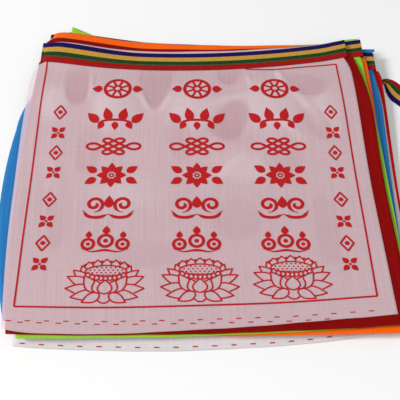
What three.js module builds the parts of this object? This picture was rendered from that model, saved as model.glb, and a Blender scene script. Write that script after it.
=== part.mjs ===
// A string of ten square satin flags, folded to a stack. The flags are sewn along their top edges to one
// striped heading tape. The tape runs back and forth, so every second flag lies face down, and past the
// last flag it doubles back under the stack and leaves at the right as a tie with a half twist.
// Millimetres. +X is right, +Y is towards the tape, +Z is up. The stack lies on z = 0.
import * as THREE from 'three';

// Driving sizes
const SHEET = 1.0;
const CLEARANCE = 0.3;
const PITCH = SHEET + CLEARANCE;
const TAPE_WIDTH = 26;
const HALF_TAPE = TAPE_WIDTH / 2;
const TAPE_FRONT_ROOM = 2;
const TURN_ROOM = 4;
const STEP_DEPTH = 4;
const HEM_DEPTH = 14;
const TIP_WIDTH = 26;
const FALL_START = -158;
const FALL_SPAN = 12;
const REST_Y = -90;

// The stack is thick along the tape and thin in front: every flag comes down the same ramp.
const RAMP_TOP = 118;
const RAMP_STEP = 21;
const RAMP_STEPS = 7;
const FRONT_ROWS = [-75, -125];
const COLUMN_FIRST = -135;
const COLUMN_LAST = 132;
const COLUMN_CELLS = 9;

// The tie's half twist, with its narrow neck, and its plain end
const TWIST_LENGTH = 30;
const TWIST_EASE = 3;
const NECK_SHARE = 0.3;
const TIE_LENGTH = 96;
const TIE_STEP = 1;
const TIE_TURN = THREE.MathUtils.degToRad(-50);
const TIE_TURN_LENGTH = 12;

// Steps around the wide half rounds on the right and the tight ones on the left
const WIDE_TURN_STEPS = 6;
const TIGHT_TURN_STEPS = 4;
const TAPE_ROWS = 2;

// Places where the tape turns, in order along the tape, from its free start to where the tie leaves
const turns = table(['x', 'y'], [
  [-168, 158],
  [158, 165],
  [-171, 161],
  [177, 172],
  [-166, 182],
  [190, 157],
  [-146, 150],
  [188, 160],
  [-150, 199],
  [180, 150],
  [-160, 170],
  [193.5, 139],
]);

// One row for each flag, from the top of the stack down. dip is how far the tape bows towards the front.
// back is the cloth that stands out behind the tape at its left end, middle and right end. step is how far
// the right side juts out past the tape's fold, and flare is the depth below the tape in which the sides
// spread. left and right are the side edges below that, at the front corner, and their bow between the two.
// front is the front edge's y at its two corners and its belly. tip is a corner pulled out at the back, and
// fall is how far the front hem hangs down over the flags below.
const flags = table(
  ['colour', 'dip', 'backLeft', 'backMiddle', 'backRight', 'step', 'flare', 'leftTop', 'leftFront',
    'leftBow', 'rightTop', 'rightFront', 'rightBow', 'frontLeft', 'frontRight', 'belly', 'tip', 'fall'],
  [
    ['white', 16, 2, 4.5, 0.3, 0, 40, -175, -162, -6, 160, 166, 0, -162, -148, -9, 0, 0],
    ['red', 14, 7, 4.3, 0.3, 10, 90, -168, -160, -4, 175.5, 179, -1, -166, -157, -4, 0, 0],
    ['green', 14, 3, 3, 3, 1.5, 40, -164, -152, -2, 174.8, 177, 4, -169, -158, -4, 0, 0],
    ['orange', 16, 8, 6, 0.3, 6, 20, -157, -153, 0, 179.5, 176, 0, -164, -163, -3, 0, 0],
    ['blue', 3, 3, 4.5, 6, 0, 55, -157, -151, 0, 188, 178, 0, -158, -154, -3, 0, 0],
    ['white', 14, 4, 4, 4, 0, 55, -147, -156, 0, 189.5, 186, -1, -172, -156, -11, 0, 4.8],
    ['red', 4, 4, 4, 0.5, 8, 12, -146, -148, 0, 195.5, 187, -1, -154, -146, -3, 0, 0],
    ['green', 6, 0.3, 1, 0.5, 0, 55, -146, -147, 0, 189, 184, 0, -153, -146, -3, 9, 0],
    ['orange', 2, 0.3, 0.3, 0.3, 0, 55, -146, -149, 0, 177, 178, 0, -153, -146, -3, 0, 0],
    ['blue', 4, 4, 4, 4, 0, 75, -189, -168, -11, 150, 158, 0, -148, -146, -3, 0, 0],
  ],
);

// Soft ridges on the top flag, just in front of the tape
const ridges = table(['x', 'y', 'halfWidth', 'halfLength', 'height'], [
  [-148, 88, 22, 34, 1.6],
  [-88, 84, 30, 42, 2.2],
  [-8, 82, 34, 40, 1.8],
  [72, 86, 36, 44, 2.4],
  [128, 80, 24, 40, 1.4],
  [48, 10, 44, 26, 1.2],
  [-70, -20, 52, 34, 0.9],
]);

// Cloth colours
const cloths = {
  white: 0xe6dcdc,
  red: 0x9c1414,
  green: 0x92d24a,
  orange: 0xf56a18,
  blue: 0x2f78be,
};
const TAPE_COLOUR = 0xa86a2c;
const TAPE_ROUGHNESS = 0.7;
const SATIN_ROUGHNESS = 0.5;

function table(columns, rows) {
  return rows.map((row) => Object.fromEntries(columns.map((column, place) => [column, row[place]])));
}

function mix(a, b, share) {
  return a + (b - a) * share;
}

function smooth(share) {
  const held = THREE.MathUtils.clamp(share, 0, 1);
  return held * held * (3 - 2 * held);
}

function hump(share) {
  return 4 * share * (1 - share);
}

// Layers are counted from the top, 1 to 10. Layer 11 is the tie's run under the stack.
function isFaceUp(layer) {
  return layer % 2 === 1;
}

function tapeLevel(layer) {
  if (layer > flags.length) {
    return 0;
  }
  const below = 1 + 2 * (flags.length - layer);
  return PITCH * (isFaceUp(layer) ? below + 1 : below);
}

function flagLevel(layer) {
  const below = 1 + 2 * (flags.length - layer);
  return PITCH * (isFaceUp(layer) ? below : below + 1);
}

function frontLevel(layer) {
  return PITCH * (flags.length - layer);
}

// Ends of a layer's run of tape, left and right
function ends(layer) {
  const [from, to] = [turns[layer - 1], turns[layer]];
  return from.x < to.x ? [from, to] : [to, from];
}

function tapeMiddle(layer, x) {
  const [left, right] = ends(layer);
  const share = (x - left.x) / (right.x - left.x);
  const dip = layer > flags.length ? 0 : flags[layer - 1].dip;
  return mix(left.y, right.y, share) - dip * hump(THREE.MathUtils.clamp(share, 0, 1));
}

// Share of the way up the ramp, straight between the ramp's rows
function rampShare(y) {
  const steps = THREE.MathUtils.clamp((RAMP_TOP - y) / RAMP_STEP, 0, RAMP_STEPS);
  const row = Math.min(Math.floor(steps), RAMP_STEPS - 1);
  const upper = smooth(1 - row / RAMP_STEPS);
  const lower = smooth(1 - (row + 1) / RAMP_STEPS);
  return mix(upper, lower, steps - row);
}

function sideEdge(back, step, top, front, bow, flare, y, tapeFront, frontEnd) {
  const drop = tapeFront - y;
  if (drop <= 0) {
    return back;
  }
  if (drop < flare) {
    return mix(back + step * Math.min(drop / STEP_DEPTH, 1), top, 1 - (1 - drop / flare) ** 2);
  }
  const share = Math.min((drop - flare) / (tapeFront - flare - frontEnd), 1);
  return mix(top, front, share) + bow * hump(share);
}

function frontEdge(flag, x) {
  const share = (x - flag.leftFront) / (flag.rightFront - flag.leftFront);
  return mix(flag.frontLeft, flag.frontRight, share) + flag.belly * hump(THREE.MathUtils.clamp(share, 0, 1));
}

function backEdge(layer, x) {
  const [left, right] = ends(layer);
  const { backLeft, backMiddle, backRight, tip } = flags[layer - 1];
  const share = THREE.MathUtils.clamp((x - left.x) / (right.x - left.x), 0, 1);
  const margin = mix(backLeft, backRight, share) + (backMiddle - (backLeft + backRight) / 2) * hump(share);
  const near = THREE.MathUtils.clamp(1 - (x - left.x - TURN_ROOM) / TIP_WIDTH, 0, 1);
  return tapeMiddle(layer, x) + HALF_TAPE + margin + tip * near;
}

function ridgeHeight(x, y) {
  let height = 0;
  for (const ridge of ridges) {
    const across = Math.min(Math.abs(x - ridge.x) / ridge.halfWidth, 1);
    const along = Math.min(Math.abs(y - ridge.y) / ridge.halfLength, 1);
    height += ridge.height * smooth(1 - across) * smooth(1 - along);
  }
  return height;
}

// Rows of a flag's grid from the back edge to the front edge, each a function of x
function rowsOf(layer, parts) {
  const flag = flags[layer - 1];
  const levels = [];
  for (let step = 0; step <= RAMP_STEPS; step += 1) {
    levels.push(RAMP_TOP - step * RAMP_STEP);
  }
  levels.push(...FRONT_ROWS);
  const rows = [
    (x) => backEdge(layer, x),
    (x) => tapeMiddle(layer, x) - HALF_TAPE - TAPE_FRONT_ROOM,
    (x) => tapeMiddle(layer, x) - HALF_TAPE - TAPE_FRONT_ROOM - STEP_DEPTH,
  ];
  levels.forEach((level, place) => {
    rows.push(() => level);
    for (let part = 1; part < parts && place + 1 < levels.length; part += 1) {
      rows.push(() => mix(level, levels[place + 1], part / parts));
    }
  });
  rows.push((x) => frontEdge(flag, x) + HEM_DEPTH);
  rows.push((x) => frontEdge(flag, x));
  return rows;
}

function columnsOf(parts) {
  const cells = COLUMN_CELLS * parts;
  const columns = [];
  for (let cell = 0; cell <= cells; cell += 1) {
    columns.push(mix(COLUMN_FIRST, COLUMN_LAST, cell / cells));
  }
  return columns;
}

// Points of a flag's underside, row by row, with its own side edges as the outer columns
function flagGrid(layer, parts) {
  const flag = flags[layer - 1];
  const [left, right] = ends(layer);
  const tapeFront = (end) => end.y - HALF_TAPE - TAPE_FRONT_ROOM;
  const columns = columnsOf(parts);
  const rows = rowsOf(layer, parts);
  const lastRow = rows.length - 1;
  return rows.map((rowAt, row) => {
    const atLeft = (y) => sideEdge(left.x + TURN_ROOM, 0, flag.leftTop, flag.leftFront, flag.leftBow,
      flag.flare, y, tapeFront(left), flag.frontLeft);
    const atRight = (y) => sideEdge(right.x - TURN_ROOM, flag.step, flag.rightTop, flag.rightFront,
      flag.rightBow, flag.flare, y, tapeFront(right), flag.frontRight);
    const leftX = atLeft(rowAt(flag.leftFront));
    const rightX = atRight(rowAt(flag.rightFront));
    const xs = row < TAPE_ROWS
      ? [left.x + TURN_ROOM, ...columns, right.x - TURN_ROOM]
      : [leftX, ...columns, rightX];
    return xs.map((x) => {
      const y = rowAt(x);
      const over = THREE.MathUtils.clamp((FALL_START - frontEdge(flag, x)) / FALL_SPAN, 0, 1);
      const fall = row === lastRow ? flag.fall * over : 0;
      const lift = layer === 1 && row >= TAPE_ROWS ? ridgeHeight(x, y) : 0;
      const z = mix(frontLevel(layer), flagLevel(layer), rampShare(y)) - fall + lift;
      return new THREE.Vector3(x, y, z);
    });
  });
}

// A closed sheet from a grid of points on its underside
function sheetGeometry(grid) {
  const rowCount = grid.length;
  const columnCount = grid[0].length;
  const positions = [];
  for (const height of [SHEET, 0]) {
    for (const row of grid) {
      for (const point of row) {
        positions.push(point.x, point.y, point.z + height);
      }
    }
  }
  const under = rowCount * columnCount;
  const place = (row, column) => row * columnCount + column;
  const faces = [];
  const quad = (a, b, c, d) => faces.push(a, b, c, a, c, d);
  for (let row = 0; row + 1 < rowCount; row += 1) {
    for (let column = 0; column + 1 < columnCount; column += 1) {
      const a = place(row, column);
      const b = place(row + 1, column);
      const c = place(row + 1, column + 1);
      const d = place(row, column + 1);
      quad(a, b, c, d);
      faces.push(under + a, under + c, under + b, under + a, under + d, under + c);
    }
    quad(place(row + 1, 0), place(row, 0), under + place(row, 0), under + place(row + 1, 0));
    const last = columnCount - 1;
    quad(place(row, last), place(row + 1, last), under + place(row + 1, last), under + place(row, last));
  }
  const lastRow = rowCount - 1;
  for (let column = 0; column + 1 < columnCount; column += 1) {
    quad(place(0, column), place(0, column + 1), under + place(0, column + 1), under + place(0, column));
    quad(place(lastRow, column + 1), place(lastRow, column),
      under + place(lastRow, column), under + place(lastRow, column + 1));
  }
  return meshGeometry(positions, faces);
}

function meshGeometry(positions, faces) {
  const geometry = new THREE.BufferGeometry();
  geometry.setAttribute('position', new THREE.Float32BufferAttribute(positions, 3));
  geometry.setIndex(faces);
  geometry.computeVertexNormals();
  return geometry;
}

// Cross sections of the tape, each with its middle, the way to its back edge and its face's direction
function section(x, y, z, face) {
  return { middle: new THREE.Vector3(x, y, z), side: new THREE.Vector3(0, 1, 0), face };
}

function runSections(layer) {
  const [left, right] = ends(layer);
  const leftRoom = layer === 1 ? 0 : TURN_ROOM;
  const rightRoom = layer > flags.length ? 0 : TURN_ROOM;
  const xs = [left.x + leftRoom, ...columnsOf(1), right.x - rightRoom];
  const z = tapeLevel(layer) + SHEET / 2;
  const face = new THREE.Vector3(0, 0, isFaceUp(layer) ? 1 : -1);
  const sections = xs.map((x) => section(x, tapeMiddle(layer, x), z, face.clone()));
  return isFaceUp(layer) ? sections : sections.reverse();
}

// The half round of tape between one layer and the next one down
function turnSections(layer) {
  const { x, y } = turns[layer];
  const upper = tapeLevel(layer) + SHEET / 2;
  const lower = tapeLevel(layer + 1) + SHEET / 2;
  const radius = (upper - lower) / 2;
  const outward = isFaceUp(layer) ? 1 : -1;
  const middleX = x - outward * (radius + SHEET / 2);
  const steps = isFaceUp(layer) ? WIDE_TURN_STEPS : TIGHT_TURN_STEPS;
  const sections = [];
  for (let step = 0; step <= steps; step += 1) {
    const angle = Math.PI / 2 - (Math.PI * step) / steps;
    const away = new THREE.Vector3(outward * Math.cos(angle), 0, Math.sin(angle));
    const middle = new THREE.Vector3(middleX, y, (upper + lower) / 2).addScaledVector(away, radius);
    sections.push(section(middle.x, middle.y, middle.z, away.multiplyScalar(outward)));
  }
  return sections;
}

// The tie turns towards the front as it rolls over, and then comes down flat to its cut end
function tieSections() {
  const start = turns[turns.length - 1];
  const place = new THREE.Vector3(start.x, start.y, 0);
  const up = new THREE.Vector3(0, 0, 1);
  const sections = [];
  for (let run = TIE_STEP; run <= TIE_LENGTH; run += TIE_STEP) {
    const twist = Math.min(run / TWIST_LENGTH, 1);
    const heading = TIE_TURN * smooth(run / TIE_TURN_LENGTH);
    place.x += TIE_STEP * Math.cos(heading);
    place.y += TIE_STEP * Math.sin(heading);
    const roll = Math.PI * (1 - (1 - twist) ** TWIST_EASE);
    const stand = Math.abs(Math.sin(roll));
    const level = new THREE.Vector3(-Math.sin(heading), Math.cos(heading), 0);
    const side = level.clone().multiplyScalar(Math.cos(roll)).addScaledVector(up, -Math.sin(roll));
    const face = up.clone().multiplyScalar(Math.cos(roll)).addScaledVector(level, Math.sin(roll));
    const half = HALF_TAPE * mix(1, NECK_SHARE, Math.sqrt(stand));
    const middle = place.clone().setZ(SHEET / 2 + half * stand);
    sections.push({ middle, side: side.multiplyScalar(half / HALF_TAPE), face });
  }
  return sections;
}

function tapeGeometry() {
  const sections = [];
  for (let layer = 1; layer <= flags.length + 1; layer += 1) {
    sections.push(...runSections(layer));
    sections.push(...(layer <= flags.length ? turnSections(layer) : tieSections()));
  }
  const positions = [];
  for (const { middle, side, face } of sections) {
    for (const [across, through] of [[1, 1], [-1, 1], [-1, -1], [1, -1]]) {
      const corner = middle.clone();
      corner.addScaledVector(side, across * HALF_TAPE).addScaledVector(face, (through * SHEET) / 2);
      positions.push(corner.x, corner.y, corner.z);
    }
  }
  const faces = [0, 1, 2, 0, 2, 3].reverse();
  for (let at = 0; at + 1 < sections.length; at += 1) {
    for (let corner = 0; corner < 4; corner += 1) {
      const next = (corner + 1) % 4;
      const [a, b] = [at * 4 + corner, at * 4 + next];
      faces.push(a, b, b + 4, a, b + 4, a + 4);
    }
  }
  const last = (sections.length - 1) * 4;
  faces.push(last, last + 1, last + 2, last, last + 2, last + 3);
  return meshGeometry(positions, faces);
}

function cloth(name, geometry, color, roughness) {
  const material = new THREE.MeshStandardMaterial({ color, roughness, metalness: 0, side: THREE.DoubleSide });
  const mesh = new THREE.Mesh(geometry, material);
  mesh.name = name;
  return mesh;
}

// The origin is on the bottom flag's flat underside, where the stack rests
const string = new THREE.Group();
string.position.set(0, -REST_Y, 0);
string.add(cloth('heading_tape', tapeGeometry(), TAPE_COLOUR, TAPE_ROUGHNESS));
flags.forEach((flag, place) => {
  const layer = place + 1;
  const parts = layer === 1 ? 2 : 1;
  const geometry = sheetGeometry(flagGrid(layer, parts));
  string.add(cloth(`flag_${layer}_${flag.colour}`, geometry, cloths[flag.colour], SATIN_ROUGHNESS));
});

export default string;
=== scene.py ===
"""Looks of a folded string of ten satin prayer flags on a striped tape.

Places are millimetres in the stack's own plan, and metres only where a mesh is made.
+X is right, +Y is towards the tape, +Z is up. The stack lies on z = 0.
"""
import math
from collections import namedtuple

import bpy
import numpy as np
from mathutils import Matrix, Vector


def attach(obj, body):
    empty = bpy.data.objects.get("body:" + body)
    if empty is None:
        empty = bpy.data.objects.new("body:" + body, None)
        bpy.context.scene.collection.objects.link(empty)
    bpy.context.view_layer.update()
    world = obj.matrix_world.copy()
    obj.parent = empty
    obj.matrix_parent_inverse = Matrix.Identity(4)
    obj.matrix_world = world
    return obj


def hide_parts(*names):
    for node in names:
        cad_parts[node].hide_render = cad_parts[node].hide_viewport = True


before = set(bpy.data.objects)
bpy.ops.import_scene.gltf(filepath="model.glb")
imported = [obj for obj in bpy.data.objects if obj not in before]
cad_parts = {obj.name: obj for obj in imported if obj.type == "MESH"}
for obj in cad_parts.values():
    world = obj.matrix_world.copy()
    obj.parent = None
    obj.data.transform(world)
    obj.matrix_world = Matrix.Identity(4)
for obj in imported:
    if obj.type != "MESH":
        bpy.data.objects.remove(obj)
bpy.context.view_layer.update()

# Sizes shared with the solids
MM = 0.001
SHIFT_Y = 90.0
PITCH = 1.3
TAPE_WIDTH = 26.0
HALF_TAPE = TAPE_WIDTH / 2
TURN_ROOM = 4.0
HEM_DEPTH = 14.0
RAMP_TOP = 118.0
RAMP_END = -29.0
TIP_WIDTH = 26.0
FALL_START = -158.0
FALL_SPAN = 12.0
TWIST_LENGTH = 30.0
TWIST_EASE = 3
NECK_SHARE = 0.3
TIE_LENGTH = 96.0
TIE_TURN = math.radians(-50)
TIE_TURN_LENGTH = 12.0

# Sizes of the thin cloth: room and depth of the steps beside the tape, thicknesses, and how high the
# middles lie above the layer's level or above each other
TAPE_FRONT_ROOM = 1.2
STEP_DEPTH = 1.5
CLOTH = 0.30
CLOTH_SEAT = 0.20
TAPE = 0.50
TAPE_SEAT = 0.52
FLOOR_SEAT = 0.50
FLAG_SIDE = 330.0

# Cells of a flag's mesh each way, and the finer ones near the tape, the hem and the right side
TOP_CELLS = 180
FLAG_CELLS = 84
NEAR_TAPE = 0.2
NEAR_TAPE_CELLS = 40
NEAR_HEM = 0.94
NEAR_HEM_CELLS = 14
NEAR_RIGHT = 0.92
NEAR_RIGHT_CELLS = 14

# Places where the tape turns, in order along the tape
TURNS = [
    (-168, 158), (158, 165), (-171, 161), (177, 172), (-166, 182), (190, 157),
    (-146, 150), (188, 160), (-150, 199), (180, 150), (-160, 170), (193.5, 139),
]

# The flags from the top of the stack down, with the places of their edges in plan
Flag = namedtuple(
    "Flag",
    "colour dip back_left back_middle back_right step flare left_top left_front left_bow "
    "right_top right_front right_bow front_left front_right belly tip fall curl",
)
FLAGS = [Flag(*row) for row in (
    ("white", 16, 0.6, 3.7, 0, 0, 26, -176.3, -164.5, -6, 160, 166, 0, -160, -148, -9.5, 0, 0, 0),
    ("red", 14, 7, 4.8, 0.3, 10, 90, -173, -160.5, -6, 175.5, 179, -1, -166, -157, -4, 0, 0, 1.8),
    ("green", 14, 3, 3, 3, 1.5, 40, -164, -152, -2, 174.8, 177, 4, -169, -156.3, -4, 0, 0, 1.4),
    ("orange", 16, 2.5, 6, 0.3, 6, 20, -157, -153, 0, 179.5, 176, 0, -164, -163, -3, 0, 0, 1.0),
    ("blue", 3, 3, 4.5, 6, 0, 55, -157, -151, 0, 188, 178, 0, -158, -154, -3, 0, 0, 1.0),
    ("white", 14, 4, 4, 4, 0, 55, -147, -156, 0, 189.5, 186, -1, -172, -156, -11, 0, 4.8, 0.5),
    ("red", 4, 4, 4, 0.5, 8, 12, -146, -148, 0, 195.5, 187, -1, -154, -146, -3, 0, 0, 0.8),
    ("green", 6, 0.3, -6, -6, 0, 55, -146, -147, 0, 189, 184, 0, -153, -146, -3, 9, 0, 0),
    ("orange", 2, 0.3, 0.3, 0.3, 0, 55, -146, -149, 0, 177, 178, 0, -153, -146, -3, 0, 0, 0),
    ("blue", 4, 4, 4, 4, 0, 88, -189, -168, -11, 150, 158, 0, -148, -146, -3, 0, 0, 0),
)]
LAYERS = len(FLAGS)

# Soft swells of the top flag
Swell = namedtuple("Swell", "x y half_width half_length height")
SWELLS = [Swell(*row) for row in (
    (-148, 88, 22, 34, 1.6),
    (-88, 84, 30, 42, 2.2),
    (-8, 82, 34, 40, 1.8),
    (72, 86, 36, 44, 2.4),
    (128, 80, 24, 40, 1.4),
    (48, 10, 44, 26, 1.2),
    (-70, -20, 52, 34, 0.9),
)]

# Places where the top flag sinks onto the one below: middle, half sizes, turn, how much a place narrows to
# the front, and how far it sinks
Patch = namedtuple("Patch", "x y half_width half_length turn narrow depth")
PATCHES = [Patch(*row) for row in (
    (-127, 112, 13, 28, 0.05, 0.15, 1.0),
    (-46, 110, 16, 32, 0.0, 0.55, 1.0),
    (30, 124, 12, 13, 0.0, 0.3, 0.9),
    (32, 66, 17, 27, -0.5, -0.25, 1.0),
    (112, 112, 22, 15, -0.35, 0.2, 0.75),
    (118, 62, 13, 22, 0.45, 0.2, 0.6),
    (-20, 40, 13, 26, 0.2, 0.2, 0.5),
    (-108, 30, 14, 30, -0.1, 0.2, 0.45),
    (82, 20, 20, 18, 0.6, 0.1, 0.5),
    (-132, -40, 10, 46, 0.06, 0.2, 0.4),
    (34, -50, 22, 24, 0.4, 0.1, 0.4),
    (116, -60, 12, 40, 0.05, 0.1, 0.4),
    (-46, -88, 34, 14, 0.1, 0.1, 0.35),
)]

# Raised creases of the top flag, each from one place to another
Crease = namedtuple("Crease", "x0 y0 x1 y1 half_width height")
CREASES = [Crease(*row) for row in (
    (-116, 138, -110, 84, 5, 0.7),
    (-66, 108, -42, 66, 7, 1.0),
    (-22, 104, -46, 66, 7, 1.0),
    (-47, 138, -45, 118, 5, 0.8),
    (6, 84, 64, 104, 8, 1.1),
    (46, 136, 58, 100, 5, 0.7),
    (78, 138, 92, 108, 6, 1.2),
    (90, 118, 132, 46, 8, 1.1),
    (70, 80, 112, 34, 7, 0.7),
    (52, 32, 2, -20, 8, 0.8),
    (150, 60, 120, 44, 7, 0.6),
    (-150, 30, -124, -50, 12, 0.5),
)]

# Small waves of the cut edges: height, length and phase step from layer to layer
EDGE_WAVES = ((0.16, 17.0, 2.1), (0.10, 6.3, 1.3))
BACK_WAVE = (0.25, 11.0, 1.7)
# Ripples of the lower flags: height, and length and phase step in x and in y
RIPPLE = 0.07
RIPPLE_X = (23, 1.9)
RIPPLE_Y = (31, 0.7)
# How far a flag's left side reaches past its tape's fold, by layer
LEFT_STEPS = {1: -5.0, 2: -4.5}
# How far a flag's right back corner reaches past the rest of its back edge, by layer
BACK_STEPS = {3: 4.0, 5: 6.0}
# How far the deepest place of a front hem lies to the left, by layer
BELLY_SKEWS = {1: 0.6}
BACK_ROOM = 0.7
BACK_STEP_START = 0.94
CORNER_ROUND = 14.0
# Corners of flags with a wide step rise past the tape's fold, after a gap
WIDE_STEP = 8.0
CORNER_RISE = 6.0
CORNER_DEPTH = 14.0
CORNER_GAP = 2.3
CORNER_EASE = 1.2
PLAN_ROUNDS = 8
# Sunk patches: depth, soft rim, reach, squareness, and how firmly their middle and their front end lie
SINK = 0.40
PATCH_RIM = 0.34
PATCH_REACH = 1.12
PATCH_SQUARE = 2.6
PATCH_FIRM = 0.78
PATCH_FRONT_FIRM = 0.22
# Shares of a crease in which it rises and fades
CREASE_RISE = 0.35
CREASE_FADE = 0.5
# Curled strips: where they start beside the flag above, and the least width
CURL_GAP = 1.0
CURL_WIDTH = 2.5
# Painted light: the margin behind the tape gets the palest tint of the sheer cloth, as if it stood well off
# the cloth below
MARGIN_PAINTED_LIGHT_LIFT = 1.6
# Gives each flag threads of its own
THREAD_STEP = 40.0

# How much fuller the folds stand towards the back at both ends of the tape: share of the height, start and
# length of the rise. At the far left they roll down again.
Rise = namedtuple("Rise", "share start length")
LEFT_RISE = Rise(0.31, 60, 85)
LEFT_ROLL = Rise(0.15, 148, 22)
LEFT_BACK = Rise(1, 124, 50)
RIGHT_RISE = Rise(0.09, 128, 30)
RIGHT_BACK = Rise(1, 128, 44)


def mix(a, b, share):
    return a + (b - a) * share


def smooth(share):
    held = np.clip(share, 0, 1)
    return held * held * (3 - 2 * held)


def hump(share):
    held = np.clip(share, 0, 1)
    return 4 * held * (1 - held)


# Shape of the stack

def is_face_up(layer):
    return layer % 2 == 1


def flag_level(layer):
    below = 1 + 2 * (LAYERS - layer)
    return PITCH * (below if is_face_up(layer) else below + 1)


def front_level(layer):
    return PITCH * (LAYERS - layer)


def rise_at(place, rise):
    return rise.share * smooth((place - rise.start) / rise.length)


def fullness(x, y):
    """How much fuller the folds stand at a place in plan, as a share of the height."""
    left = (rise_at(-x, LEFT_RISE) - rise_at(-x, LEFT_ROLL)) * rise_at(y, LEFT_BACK)
    right = rise_at(x, RIGHT_RISE) * rise_at(y, RIGHT_BACK)
    return left + right


def tape_level(layer):
    """Middle of the tape's thickness: on its flag when face up, under it when face down."""
    if layer > LAYERS:
        return FLOOR_SEAT
    return flag_level(layer) + CLOTH_SEAT + (TAPE_SEAT if is_face_up(layer) else -TAPE_SEAT)


def tape_ends(layer):
    return sorted((TURNS[layer - 1], TURNS[layer]))


def tape_middle(layer, x):
    (left_x, left_y), (right_x, right_y) = tape_ends(layer)
    share = (x - left_x) / (right_x - left_x)
    dip = 0 if layer > LAYERS else FLAGS[layer - 1].dip
    return mix(left_y, right_y, share) - dip * hump(share)


def side_edge(back, step, top, front, bow, flare, y, tape_front, front_end):
    """A side edge's x: it steps out in front of the tape, spreads over the flare and bows to the front."""
    drop = tape_front - y
    base = back + step * np.clip(drop / STEP_DEPTH, 0, 1)
    spread = mix(base, top, 1 - (1 - np.clip(drop / flare, 0, 1)) ** 2)
    share = np.clip((drop - flare) / (tape_front - flare - front_end), 0, 1)
    return np.where(drop < flare, spread, mix(top, front, share) + bow * hump(share))


def left_edge(layer, y):
    flag = FLAGS[layer - 1]
    (x, end_y), _ = tape_ends(layer)
    step = LEFT_STEPS.get(layer, 0)
    tape_front = end_y - HALF_TAPE - TAPE_FRONT_ROOM
    return side_edge(x + TURN_ROOM, step, flag.left_top, flag.left_front, flag.left_bow, flag.flare,
                     y, tape_front, flag.front_left)


def right_edge(layer, y):
    flag = FLAGS[layer - 1]
    _, (x, end_y) = tape_ends(layer)
    tape_front = end_y - HALF_TAPE - TAPE_FRONT_ROOM
    return side_edge(x - TURN_ROOM, flag.step, flag.right_top, flag.right_front, flag.right_bow, flag.flare,
                     y, tape_front, flag.front_right)


def front_edge(layer, x):
    flag = FLAGS[layer - 1]
    share = (x - flag.left_front) / (flag.right_front - flag.left_front)
    belly_share = np.clip(share, 0, 1) ** BELLY_SKEWS.get(layer, 1)
    edge = mix(flag.front_left, flag.front_right, share) + flag.belly * hump(belly_share)
    for height, length, step in EDGE_WAVES:
        edge = edge + height * np.sin(x / length + step * layer)
    return edge


def back_edge(layer, x):
    (left_x, _), (right_x, _) = tape_ends(layer)
    flag = FLAGS[layer - 1]
    share = np.clip((x - left_x) / (right_x - left_x), 0, 1)
    crown = flag.back_middle - (flag.back_left + flag.back_right) / 2
    margin = mix(flag.back_left, flag.back_right, share) + crown * hump(share)
    near = np.clip(1 - (x - left_x - TURN_ROOM) / TIP_WIDTH, 0, 1)
    if not flag.tip:
        margin = margin * (1 - (1 - np.clip((x - left_x - TURN_ROOM) / CORNER_ROUND, 0, 1)) ** 3)
    height, length, step = BACK_WAVE
    wave = height * np.sin(x / length + step * layer)
    return tape_middle(layer, x) + HALF_TAPE + margin + flag.tip * near + wave


def flag_plan(layer, across, along):
    """Plan place of a point of a flag: across from its left side and along from its back edge, 0 to 1."""
    flag = FLAGS[layer - 1]
    x = mix(flag.left_front, flag.right_front, across)
    for _ in range(PLAN_ROUNDS):
        y = mix(back_edge(layer, x), front_edge(layer, x), along)
        x = mix(left_edge(layer, y), right_edge(layer, y), across)
    _, (fold_x, fold_y) = tape_ends(layer)
    if layer in BACK_STEPS:
        past_tape = np.clip(y - fold_y - HALF_TAPE - BACK_ROOM, 0, 1)
        near_corner = smooth((across - BACK_STEP_START) / (1 - BACK_STEP_START))
        x = x + BACK_STEPS[layer] * near_corner * past_tape
    if flag.step >= WIDE_STEP:
        drop = fold_y - HALF_TAPE - TAPE_FRONT_ROOM - y
        past_fold = smooth((x - fold_x - CORNER_GAP) / CORNER_EASE)
        y = y + CORNER_RISE * past_fold * (1 - np.clip(drop / CORNER_DEPTH, 0, 1)) * (drop > 0)
    return x, y


def swell_at(x, y, swell):
    return (swell.height * smooth(1 - np.abs(x - swell.x) / swell.half_width)
            * smooth(1 - np.abs(y - swell.y) / swell.half_length))


def patch_at(x, y, patch):
    """How far a place is inside a patch with a soft rim, 0 to the patch's depth."""
    cos, sin = math.cos(patch.turn), math.sin(patch.turn)
    across = (x - patch.x) * cos + (y - patch.y) * sin
    along = ((y - patch.y) * cos - (x - patch.x) * sin) / patch.half_length
    width = patch.half_width * (1 + patch.narrow * np.clip(along, -1, 1))
    powers = np.abs(across / width) ** PATCH_SQUARE + np.abs(along) ** PATCH_SQUARE
    away = powers ** (1 / PATCH_SQUARE)
    firm = PATCH_FIRM - PATCH_FRONT_FIRM * np.clip(along, -1, 1)
    return patch.depth * firm * smooth((PATCH_REACH - away) / PATCH_RIM)


def touching(x, y):
    """How firmly the top flag touches the one below, 0 to 1."""
    return np.max([patch_at(x, y, patch) for patch in PATCHES], axis=0)


def crease_at(x, y, crease):
    dx, dy = crease.x1 - crease.x0, crease.y1 - crease.y0
    length = math.hypot(dx, dy)
    run = ((x - crease.x0) * dx + (y - crease.y0) * dy) / length
    off = ((x - crease.x0) * dy - (y - crease.y0) * dx) / length
    ends = smooth(run / (CREASE_RISE * length)) * smooth((length - run) / (CREASE_FADE * length))
    return crease.height * smooth(1 - np.abs(off) / crease.half_width) * ends


def curl_at(layer, x, y):
    """The strip that shows beside the flag above rises towards its free edge."""
    inner = right_edge(layer - 1, y) + CURL_GAP
    outer = right_edge(layer, y)
    return FLAGS[layer - 1].curl * smooth((x - inner) / np.maximum(outer - inner, CURL_WIDTH))


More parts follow.
